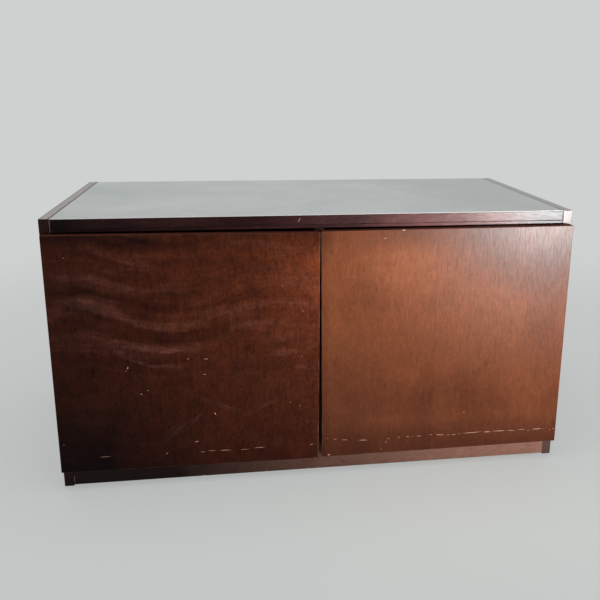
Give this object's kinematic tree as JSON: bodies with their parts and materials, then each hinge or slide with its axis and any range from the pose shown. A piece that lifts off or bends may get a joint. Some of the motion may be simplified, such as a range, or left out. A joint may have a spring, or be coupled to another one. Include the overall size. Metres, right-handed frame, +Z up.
{
  "type": "two-door cabinet",
  "caption": "Low two-door cabinet: a veneered box with a pale laminated top, handleless overlay doors on concealed hinges, and adjustable shelves behind them.",
  "frame": {"origin": "on the floor, under the middle of the closed cabinet's bounding box", "axes": "+Z up; +X to the right of someone facing the doors, along the cabinet's length; the doors face -Y"},
  "size_m": [1, 0.5, 0.53],
  "materials": {
    "veneer": "reddish brown stained veneer with a satin lacquer, worn and scratched low down",
    "edge_veneer": "dark reddish brown stained edging with a satin lacquer",
    "inner_veneer": "plain stained veneer, matt",
    "laminate": "pale grey laminate, satin, with faint mottling",
    "hardboard": "brown hardboard, matt",
    "zinc": "nickel-plated zinc and pressed steel",
    "pin_steel": "plain steel",
    "latch_plastic": "brown moulded plastic"
  },
  "bodies": {
    "carcass": {"side_panel_left": "veneer", "side_panel_right": "veneer", "top_panel": "inner_veneer", "top_laminate": "laminate", "top_edge_band": "edge_veneer", "top_batten": "edge_veneer", "bottom_panel": "inner_veneer", "back_panel": "hardboard", "plinth_front": "veneer", "plinth_back": "veneer", "plinth_cross_rail": "inner_veneer", "centre_partition": "inner_veneer", "shelf_left": "inner_veneer", "shelf_right": "inner_veneer", "shelf_pin_left_outer_front": "pin_steel", "shelf_pin_left_outer_back": "pin_steel", "shelf_pin_left_inner_front": "pin_steel", "shelf_pin_left_inner_back": "pin_steel", "shelf_pin_right_outer_front": "pin_steel", "shelf_pin_right_outer_back": "pin_steel", "shelf_pin_right_inner_front": "pin_steel", "shelf_pin_right_inner_back": "pin_steel", "hinge_plate_left_lower": "zinc", "hinge_plate_left_upper": "zinc", "hinge_plate_right_lower": "zinc", "hinge_plate_right_upper": "zinc", "hinge_arm_left_lower": "zinc", "hinge_arm_left_upper": "zinc", "hinge_arm_right_lower": "zinc", "hinge_arm_right_upper": "zinc", "hinge_arm_pin_left_lower": "pin_steel", "hinge_arm_pin_left_upper": "pin_steel", "hinge_arm_pin_right_lower": "pin_steel", "hinge_arm_pin_right_upper": "pin_steel", "latch_housing_left": "latch_plastic", "latch_housing_right": "latch_plastic"},
    "links_left": {"hinge_link_left_lower": "zinc", "hinge_link_left_upper": "zinc"},
    "links_right": {"hinge_link_right_lower": "zinc", "hinge_link_right_upper": "zinc"},
    "door_left": {"door_panel_left": "veneer", "hinge_cup_left_lower": "zinc", "hinge_cup_left_upper": "zinc", "hinge_cup_pin_left_lower": "pin_steel", "hinge_cup_pin_left_upper": "pin_steel", "strike_plate_left": "zinc"},
    "door_right": {"door_panel_right": "veneer", "hinge_cup_right_lower": "zinc", "hinge_cup_right_upper": "zinc", "hinge_cup_pin_right_lower": "pin_steel", "hinge_cup_pin_right_upper": "pin_steel", "strike_plate_right": "zinc"},
    "plunger_left": {"latch_plunger_left": "latch_plastic"},
    "plunger_right": {"latch_plunger_right": "latch_plastic"}
  },
  "joints": [
    {"name": "links_left_turn", "type": "hinge", "parent": "carcass", "child": "links_left", "pos_m": [-0.4635, -0.238, 0.272], "axis": [0, 0, -1], "range_deg": [-30, 0]},
    {"name": "door_left_swing", "type": "hinge", "parent": "links_left", "child": "door_left", "pos_m": [-0.487, -0.236, 0.272], "axis": [0, 0, -1], "range_deg": [0, 125]},
    {"name": "links_right_turn", "type": "hinge", "parent": "carcass", "child": "links_right", "pos_m": [0.4635, -0.238, 0.272], "axis": [0, 0, 1], "range_deg": [-30, 0]},
    {"name": "door_right_swing", "type": "hinge", "parent": "links_right", "child": "door_right", "pos_m": [0.487, -0.236, 0.272], "axis": [0, 0, 1], "range_deg": [0, 125]},
    {"name": "plunger_left_push", "type": "slide", "parent": "carcass", "child": "plunger_left", "axis": [0, 1, 0], "range_m": [0, 0.0025], "stiffness_N_per_m": 400},
    {"name": "plunger_right_push", "type": "slide", "parent": "carcass", "child": "plunger_right", "axis": [0, 1, 0], "range_m": [0, 0.0025], "stiffness_N_per_m": 400}
  ],
  "couplings": [
    {"joint": "links_left_turn", "follows": "door_left_swing", "ratio": -0.24},
    {"joint": "links_right_turn", "follows": "door_right_swing", "ratio": -0.24}
  ]
}
